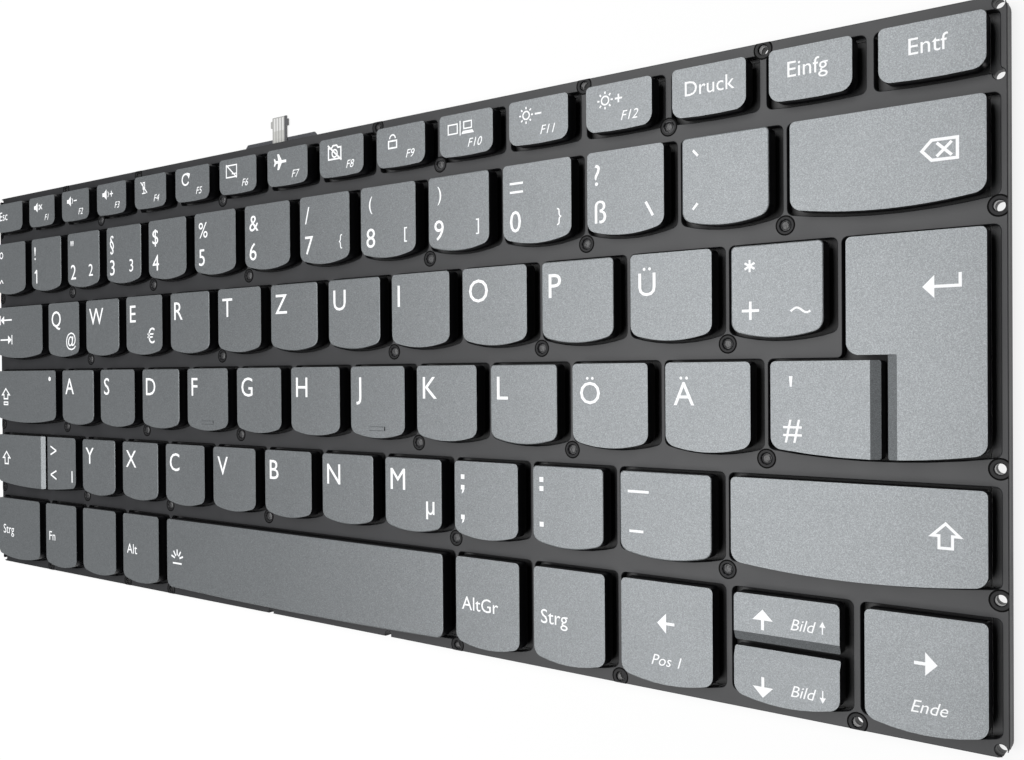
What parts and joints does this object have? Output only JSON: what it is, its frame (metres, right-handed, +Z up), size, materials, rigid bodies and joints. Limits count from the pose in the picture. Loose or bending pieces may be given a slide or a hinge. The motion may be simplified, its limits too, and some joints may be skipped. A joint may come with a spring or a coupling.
{
  "type": "laptop replacement keyboard",
  "caption": "Slim laptop keyboard module with low grey caps in a black lattice frame, a backlight sheet and a short rear flex.",
  "frame": {"origin": "centre of the frame's underside", "axes": "+X to the right of the typist, +Y to the function row, +Z up through the caps"},
  "size_m": [0.2818, 0.117, 0.0055],
  "materials": {
    "caps": "fine matt paint on the top, black sides",
    "frame": "satin",
    "membrane": "satin film",
    "plate": "painted steel sheet",
    "panel": "satin film",
    "flex": "satin film",
    "rubber": "translucent silicone",
    "links": "moulded"
  },
  "bodies": {
    "chassis": {"key_frame": "frame", "membrane": "membrane", "base_plate": "plate", "backlight_panel": "panel", "backlight_flex": "flex", "rubber_domes": "rubber", "scissor_links": "links", "fixed_keys": "caps"},
    "key_1": {"key_1": "caps"},
    "key_2": {"key_2": "caps"},
    "key_3": {"key_3": "caps"},
    "key_4": {"key_4": "caps"},
    "key_5": {"key_5": "caps"},
    "key_6": {"key_6": "caps"},
    "key_7": {"key_7": "caps"},
    "key_8": {"key_8": "caps"},
    "key_9": {"key_9": "caps"},
    "key_0": {"key_0": "caps"},
    "key_sharp_s": {"key_sharp_s": "caps"},
    "key_acute": {"key_acute": "caps"},
    "key_q": {"key_q": "caps"},
    "key_w": {"key_w": "caps"},
    "key_e": {"key_e": "caps"},
    "key_r": {"key_r": "caps"},
    "key_t": {"key_t": "caps"},
    "key_z": {"key_z": "caps"},
    "key_u": {"key_u": "caps"},
    "key_i": {"key_i": "caps"},
    "key_o": {"key_o": "caps"},
    "key_p": {"key_p": "caps"},
    "key_u_umlaut": {"key_u_umlaut": "caps"},
    "key_plus": {"key_plus": "caps"},
    "key_a": {"key_a": "caps"},
    "key_s": {"key_s": "caps"},
    "key_d": {"key_d": "caps"},
    "key_f": {"key_f": "caps"},
    "key_g": {"key_g": "caps"},
    "key_h": {"key_h": "caps"},
    "key_j": {"key_j": "caps"},
    "key_k": {"key_k": "caps"},
    "key_l": {"key_l": "caps"},
    "key_o_umlaut": {"key_o_umlaut": "caps"},
    "key_a_umlaut": {"key_a_umlaut": "caps"},
    "key_y": {"key_y": "caps"},
    "key_x": {"key_x": "caps"},
    "key_c": {"key_c": "caps"},
    "key_v": {"key_v": "caps"},
    "key_b": {"key_b": "caps"},
    "key_n": {"key_n": "caps"},
    "key_m": {"key_m": "caps"},
    "key_comma": {"key_comma": "caps"},
    "key_period": {"key_period": "caps"},
    "key_minus": {"key_minus": "caps"},
    "key_backspace": {"key_backspace": "caps"},
    "key_tab": {"key_tab": "caps"},
    "key_enter": {"key_enter": "caps"},
    "key_caps_lock": {"key_caps_lock": "caps"},
    "key_left_shift": {"key_left_shift": "caps"},
    "key_right_shift": {"key_right_shift": "caps"},
    "key_space": {"key_space": "caps"}
  },
  "joints": [
    {"name": "press_1", "type": "slide", "parent": "chassis", "child": "key_1", "axis": [0, 0, -1], "range_m": [0, 0.0013], "stiffness_N_per_m": 220, "springref_m": -0.0012, "deforming": ["rubber_domes", "scissor_links"]},
    {"name": "press_2", "type": "slide", "parent": "chassis", "child": "key_2", "axis": [0, 0, -1], "range_m": [0, 0.0013], "stiffness_N_per_m": 220, "springref_m": -0.0012, "deforming": ["rubber_domes", "scissor_links"]},
    {"name": "press_3", "type": "slide", "parent": "chassis", "child": "key_3", "axis": [0, 0, -1], "range_m": [0, 0.0013], "stiffness_N_per_m": 220, "springref_m": -0.0012, "deforming": ["rubber_domes", "scissor_links"]},
    {"name": "press_4", "type": "slide", "parent": "chassis", "child": "key_4", "axis": [0, 0, -1], "range_m": [0, 0.0013], "stiffness_N_per_m": 220, "springref_m": -0.0012, "deforming": ["rubber_domes", "scissor_links"]},
    {"name": "press_5", "type": "slide", "parent": "chassis", "child": "key_5", "axis": [0, 0, -1], "range_m": [0, 0.0013], "stiffness_N_per_m": 220, "springref_m": -0.0012, "deforming": ["rubber_domes", "scissor_links"]},
    {"name": "press_6", "type": "slide", "parent": "chassis", "child": "key_6", "axis": [0, 0, -1], "range_m": [0, 0.0013], "stiffness_N_per_m": 220, "springref_m": -0.0012, "deforming": ["rubber_domes", "scissor_links"]},
    {"name": "press_7", "type": "slide", "parent": "chassis", "child": "key_7", "axis": [0, 0, -1], "range_m": [0, 0.0013], "stiffness_N_per_m": 220, "springref_m": -0.0012, "deforming": ["rubber_domes", "scissor_links"]},
    {"name": "press_8", "type": "slide", "parent": "chassis", "child": "key_8", "axis": [0, 0, -1], "range_m": [0, 0.0013], "stiffness_N_per_m": 220, "springref_m": -0.0012, "deforming": ["rubber_domes", "scissor_links"]},
    {"name": "press_9", "type": "slide", "parent": "chassis", "child": "key_9", "axis": [0, 0, -1], "range_m": [0, 0.0013], "stiffness_N_per_m": 220, "springref_m": -0.0012, "deforming": ["rubber_domes", "scissor_links"]},
    {"name": "press_0", "type": "slide", "parent": "chassis", "child": "key_0", "axis": [0, 0, -1], "range_m": [0, 0.0013], "stiffness_N_per_m": 220, "springref_m": -0.0012, "deforming": ["rubber_domes", "scissor_links"]},
    {"name": "press_sharp_s", "type": "slide", "parent": "chassis", "child": "key_sharp_s", "axis": [0, 0, -1], "range_m": [0, 0.0013], "stiffness_N_per_m": 220, "springref_m": -0.0012, "deforming": ["rubber_domes", "scissor_links"]},
    {"name": "press_acute", "type": "slide", "parent": "chassis", "child": "key_acute", "axis": [0, 0, -1], "range_m": [0, 0.0013], "stiffness_N_per_m": 220, "springref_m": -0.0012, "deforming": ["rubber_domes", "scissor_links"]},
    {"name": "press_q", "type": "slide", "parent": "chassis", "child": "key_q", "axis": [0, 0, -1], "range_m": [0, 0.0013], "stiffness_N_per_m": 220, "springref_m": -0.0012, "deforming": ["rubber_domes", "scissor_links"]},
    {"name": "press_w", "type": "slide", "parent": "chassis", "child": "key_w", "axis": [0, 0, -1], "range_m": [0, 0.0013], "stiffness_N_per_m": 220, "springref_m": -0.0012, "deforming": ["rubber_domes", "scissor_links"]},
    {"name": "press_e", "type": "slide", "parent": "chassis", "child": "key_e", "axis": [0, 0, -1], "range_m": [0, 0.0013], "stiffness_N_per_m": 220, "springref_m": -0.0012, "deforming": ["rubber_domes", "scissor_links"]},
    {"name": "press_r", "type": "slide", "parent": "chassis", "child": "key_r", "axis": [0, 0, -1], "range_m": [0, 0.0013], "stiffness_N_per_m": 220, "springref_m": -0.0012, "deforming": ["rubber_domes", "scissor_links"]},
    {"name": "press_t", "type": "slide", "parent": "chassis", "child": "key_t", "axis": [0, 0, -1], "range_m": [0, 0.0013], "stiffness_N_per_m": 220, "springref_m": -0.0012, "deforming": ["rubber_domes", "scissor_links"]},
    {"name": "press_z", "type": "slide", "parent": "chassis", "child": "key_z", "axis": [0, 0, -1], "range_m": [0, 0.0013], "stiffness_N_per_m": 220, "springref_m": -0.0012, "deforming": ["rubber_domes", "scissor_links"]},
    {"name": "press_u", "type": "slide", "parent": "chassis", "child": "key_u", "axis": [0, 0, -1], "range_m": [0, 0.0013], "stiffness_N_per_m": 220, "springref_m": -0.0012, "deforming": ["rubber_domes", "scissor_links"]},
    {"name": "press_i", "type": "slide", "parent": "chassis", "child": "key_i", "axis": [0, 0, -1], "range_m": [0, 0.0013], "stiffness_N_per_m": 220, "springref_m": -0.0012, "deforming": ["rubber_domes", "scissor_links"]},
    {"name": "press_o", "type": "slide", "parent": "chassis", "child": "key_o", "axis": [0, 0, -1], "range_m": [0, 0.0013], "stiffness_N_per_m": 220, "springref_m": -0.0012, "deforming": ["rubber_domes", "scissor_links"]},
    {"name": "press_p", "type": "slide", "parent": "chassis", "child": "key_p", "axis": [0, 0, -1], "range_m": [0, 0.0013], "stiffness_N_per_m": 220, "springref_m": -0.0012, "deforming": ["rubber_domes", "scissor_links"]},
    {"name": "press_u_umlaut", "type": "slide", "parent": "chassis", "child": "key_u_umlaut", "axis": [0, 0, -1], "range_m": [0, 0.0013], "stiffness_N_per_m": 220, "springref_m": -0.0012, "deforming": ["rubber_domes", "scissor_links"]},
    {"name": "press_plus", "type": "slide", "parent": "chassis", "child": "key_plus", "axis": [0, 0, -1], "range_m": [0, 0.0013], "stiffness_N_per_m": 220, "springref_m": -0.0012, "deforming": ["rubber_domes", "scissor_links"]},
    {"name": "press_a", "type": "slide", "parent": "chassis", "child": "key_a", "axis": [0, 0, -1], "range_m": [0, 0.0013], "stiffness_N_per_m": 220, "springref_m": -0.0012, "deforming": ["rubber_domes", "scissor_links"]},
    {"name": "press_s", "type": "slide", "parent": "chassis", "child": "key_s", "axis": [0, 0, -1], "range_m": [0, 0.0013], "stiffness_N_per_m": 220, "springref_m": -0.0012, "deforming": ["rubber_domes", "scissor_links"]},
    {"name": "press_d", "type": "slide", "parent": "chassis", "child": "key_d", "axis": [0, 0, -1], "range_m": [0, 0.0013], "stiffness_N_per_m": 220, "springref_m": -0.0012, "deforming": ["rubber_domes", "scissor_links"]},
    {"name": "press_f", "type": "slide", "parent": "chassis", "child": "key_f", "axis": [0, 0, -1], "range_m": [0, 0.0013], "stiffness_N_per_m": 220, "springref_m": -0.0012, "deforming": ["rubber_domes", "scissor_links"]},
    {"name": "press_g", "type": "slide", "parent": "chassis", "child": "key_g", "axis": [0, 0, -1], "range_m": [0, 0.0013], "stiffness_N_per_m": 220, "springref_m": -0.0012, "deforming": ["rubber_domes", "scissor_links"]},
    {"name": "press_h", "type": "slide", "parent": "chassis", "child": "key_h", "axis": [0, 0, -1], "range_m": [0, 0.0013], "stiffness_N_per_m": 220, "springref_m": -0.0012, "deforming": ["rubber_domes", "scissor_links"]},
    {"name": "press_j", "type": "slide", "parent": "chassis", "child": "key_j", "axis": [0, 0, -1], "range_m": [0, 0.0013], "stiffness_N_per_m": 220, "springref_m": -0.0012, "deforming": ["rubber_domes", "scissor_links"]},
    {"name": "press_k", "type": "slide", "parent": "chassis", "child": "key_k", "axis": [0, 0, -1], "range_m": [0, 0.0013], "stiffness_N_per_m": 220, "springref_m": -0.0012, "deforming": ["rubber_domes", "scissor_links"]},
    {"name": "press_l", "type": "slide", "parent": "chassis", "child": "key_l", "axis": [0, 0, -1], "range_m": [0, 0.0013], "stiffness_N_per_m": 220, "springref_m": -0.0012, "deforming": ["rubber_domes", "scissor_links"]},
    {"name": "press_o_umlaut", "type": "slide", "parent": "chassis", "child": "key_o_umlaut", "axis": [0, 0, -1], "range_m": [0, 0.0013], "stiffness_N_per_m": 220, "springref_m": -0.0012, "deforming": ["rubber_domes", "scissor_links"]},
    {"name": "press_a_umlaut", "type": "slide", "parent": "chassis", "child": "key_a_umlaut", "axis": [0, 0, -1], "range_m": [0, 0.0013], "stiffness_N_per_m": 220, "springref_m": -0.0012, "deforming": ["rubber_domes", "scissor_links"]},
    {"name": "press_y", "type": "slide", "parent": "chassis", "child": "key_y", "axis": [0, 0, -1], "range_m": [0, 0.0013], "stiffness_N_per_m": 220, "springref_m": -0.0012, "deforming": ["rubber_domes", "scissor_links"]},
    {"name": "press_x", "type": "slide", "parent": "chassis", "child": "key_x", "axis": [0, 0, -1], "range_m": [0, 0.0013], "stiffness_N_per_m": 220, "springref_m": -0.0012, "deforming": ["rubber_domes", "scissor_links"]},
    {"name": "press_c", "type": "slide", "parent": "chassis", "child": "key_c", "axis": [0, 0, -1], "range_m": [0, 0.0013], "stiffness_N_per_m": 220, "springref_m": -0.0012, "deforming": ["rubber_domes", "scissor_links"]},
    {"name": "press_v", "type": "slide", "parent": "chassis", "child": "key_v", "axis": [0, 0, -1], "range_m": [0, 0.0013], "stiffness_N_per_m": 220, "springref_m": -0.0012, "deforming": ["rubber_domes", "scissor_links"]},
    {"name": "press_b", "type": "slide", "parent": "chassis", "child": "key_b", "axis": [0, 0, -1], "range_m": [0, 0.0013], "stiffness_N_per_m": 220, "springref_m": -0.0012, "deforming": ["rubber_domes", "scissor_links"]},
    {"name": "press_n", "type": "slide", "parent": "chassis", "child": "key_n", "axis": [0, 0, -1], "range_m": [0, 0.0013], "stiffness_N_per_m": 220, "springref_m": -0.0012, "deforming": ["rubber_domes", "scissor_links"]},
    {"name": "press_m", "type": "slide", "parent": "chassis", "child": "key_m", "axis": [0, 0, -1], "range_m": [0, 0.0013], "stiffness_N_per_m": 220, "springref_m": -0.0012, "deforming": ["rubber_domes", "scissor_links"]},
    {"name": "press_comma", "type": "slide", "parent": "chassis", "child": "key_comma", "axis": [0, 0, -1], "range_m": [0, 0.0013], "stiffness_N_per_m": 220, "springref_m": -0.0012, "deforming": ["rubber_domes", "scissor_links"]},
    {"name": "press_period", "type": "slide", "parent": "chassis", "child": "key_period", "axis": [0, 0, -1], "range_m": [0, 0.0013], "stiffness_N_per_m": 220, "springref_m": -0.0012, "deforming": ["rubber_domes", "scissor_links"]},
    {"name": "press_minus", "type": "slide", "parent": "chassis", "child": "key_minus", "axis": [0, 0, -1], "range_m": [0, 0.0013], "stiffness_N_per_m": 220, "springref_m": -0.0012, "deforming": ["rubber_domes", "scissor_links"]},
    {"name": "press_backspace", "type": "slide", "parent": "chassis", "child": "key_backspace", "axis": [0, 0, -1], "range_m": [0, 0.0013], "stiffness_N_per_m": 220, "springref_m": -0.0012, "deforming": ["rubber_domes", "scissor_links"]},
    {"name": "press_tab", "type": "slide", "parent": "chassis", "child": "key_tab", "axis": [0, 0, -1], "range_m": [0, 0.0013], "stiffness_N_per_m": 220, "springref_m": -0.0012, "deforming": ["rubber_domes", "scissor_links"]},
    {"name": "press_enter", "type": "slide", "parent": "chassis", "child": "key_enter", "axis": [0, 0, -1], "range_m": [0, 0.0013], "stiffness_N_per_m": 220, "springref_m": -0.0012, "deforming": ["rubber_domes", "scissor_links"]},
    {"name": "press_caps_lock", "type": "slide", "parent": "chassis", "child": "key_caps_lock", "axis": [0, 0, -1], "range_m": [0, 0.0013], "stiffness_N_per_m": 220, "springref_m": -0.0012, "deforming": ["rubber_domes", "scissor_links"]},
    {"name": "press_left_shift", "type": "slide", "parent": "chassis", "child": "key_left_shift", "axis": [0, 0, -1], "range_m": [0, 0.0013], "stiffness_N_per_m": 220, "springref_m": -0.0012, "deforming": ["rubber_domes", "scissor_links"]},
    {"name": "press_right_shift", "type": "slide", "parent": "chassis", "child": "key_right_shift", "axis": [0, 0, -1], "range_m": [0, 0.0013], "stiffness_N_per_m": 220, "springref_m": -0.0012, "deforming": ["rubber_domes", "scissor_links"]},
    {"name": "press_space", "type": "slide", "parent": "chassis", "child": "key_space", "axis": [0, 0, -1], "range_m": [0, 0.0013], "stiffness_N_per_m": 220, "springref_m": -0.0012, "deforming": ["rubber_domes", "scissor_links"]}
  ]
}
